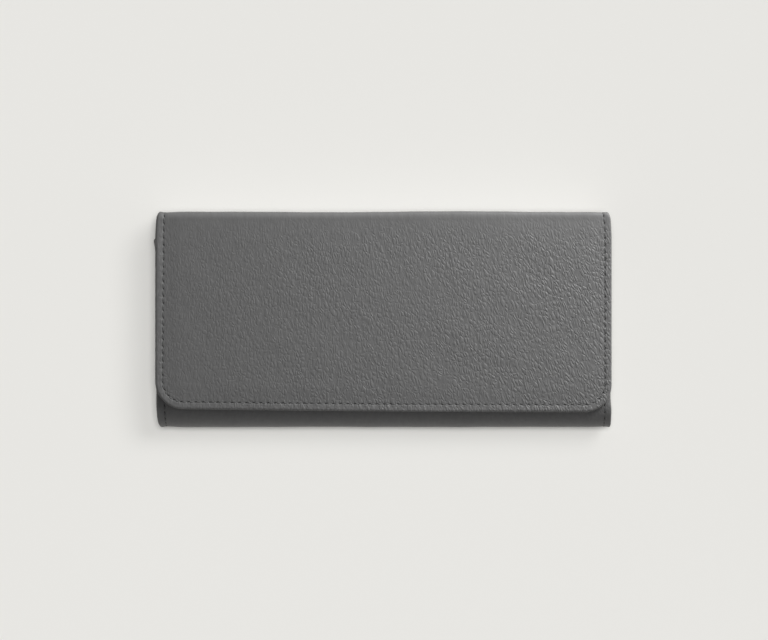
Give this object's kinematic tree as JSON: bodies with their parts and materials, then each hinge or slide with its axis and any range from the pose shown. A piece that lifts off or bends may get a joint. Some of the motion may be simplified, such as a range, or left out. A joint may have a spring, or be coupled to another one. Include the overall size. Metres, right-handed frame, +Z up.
{
  "type": "continental wallet",
  "caption": "Long leather wallet with a full flap, accordion bill compartments, card slots and a zipped coin pocket.",
  "frame": {"origin": "bottom centre of the closed wallet, which lies on its back with the flap on top", "axes": "+X along the width, +Y from the bottom fold towards the spine, +Z up through the closed flap"},
  "size_m": [0.2, 0.095, 0.0248],
  "materials": {
    "outer_leather": "pebbled grey calf leather, satin",
    "lining_leather": "smooth dark grey lining leather",
    "filler_board": "pressed fibre board",
    "zip_tape": "woven polyester tape",
    "zip_metal": "polished nickel",
    "magnet_steel": "nickel-plated magnet"
  },
  "bodies": {
    "back": {"back_leather": "outer_leather", "back_board": "filler_board", "back_lining": "lining_leather", "card_slot_left_1": "lining_leather", "card_slot_left_2": "lining_leather", "card_slot_left_3": "lining_leather", "card_slot_left_4": "lining_leather", "card_slot_right_1": "lining_leather", "card_slot_right_2": "lining_leather", "card_slot_right_3": "lining_leather", "card_slot_right_4": "lining_leather", "gusset_left": "lining_leather", "gusset_right": "lining_leather"},
    "divider": {"coin_pocket_rear": "lining_leather", "coin_pocket_front": "lining_leather", "coin_pocket_binding": "zip_tape", "zip_tape_rear": "zip_tape", "zip_tape_front": "zip_tape", "zip_teeth_rear": "zip_metal", "zip_teeth_front": "zip_metal", "zip_stops": "zip_metal", "zip_end_tabs": "lining_leather"},
    "zip_slider": {"zip_slider": "zip_metal"},
    "zip_pull": {"zip_pull_link": "zip_metal", "zip_pull_tab": "zip_metal"},
    "front": {"front_leather": "outer_leather", "front_board": "filler_board", "front_lining": "lining_leather", "front_slip_pocket": "lining_leather", "front_magnets": "magnet_steel"},
    "spine": {"spine_leather": "outer_leather", "spine_filler": "filler_board", "spine_lining": "lining_leather"},
    "flap": {"flap_leather": "outer_leather", "flap_board": "filler_board", "flap_lining": "lining_leather", "flap_magnets": "magnet_steel"}
  },
  "joints": [
    {"name": "flap_fold", "type": "hinge", "parent": "spine", "child": "flap", "pos_m": [0, 0.04604, 0.02334], "axis": [-1, 0, 0], "range_deg": [0, 90]},
    {"name": "spine_fold", "type": "hinge", "parent": "back", "child": "spine", "pos_m": [0, 0.04604, 0.00146], "axis": [-1, 0, 0], "range_deg": [0, 90]},
    {"name": "front_open", "type": "hinge", "parent": "divider", "child": "front", "pos_m": [0, -0.0475, 0.01105], "axis": [1, 0, 0], "range_deg": [0, 9], "deforming": ["gusset_left", "gusset_right"]},
    {"name": "divider_open", "type": "hinge", "parent": "back", "child": "divider", "pos_m": [0, -0.0475, 0.01105], "axis": [1, 0, 0], "range_deg": [0, 9], "deforming": ["gusset_left", "gusset_right"]},
    {"name": "zip_slide", "type": "slide", "parent": "divider", "child": "zip_slider", "axis": [-1, 0, 0], "range_m": [0, 0.153], "deforming": ["zip_teeth_rear", "zip_teeth_front"]},
    {"name": "zip_pull_swing", "type": "hinge", "parent": "zip_slider", "child": "zip_pull", "pos_m": [0.07755, 0.03125, 0.0121], "axis": [0, 0, -1], "range_deg": [0, 180]}
  ],
  "couplings": [
    {"joint": "spine_fold", "follows": "flap_fold", "ratio": 1},
    {"joint": "front_open", "follows": "flap_fold", "ratio": 0.1},
    {"joint": "divider_open", "follows": "flap_fold", "ratio": 0.1}
  ]
}
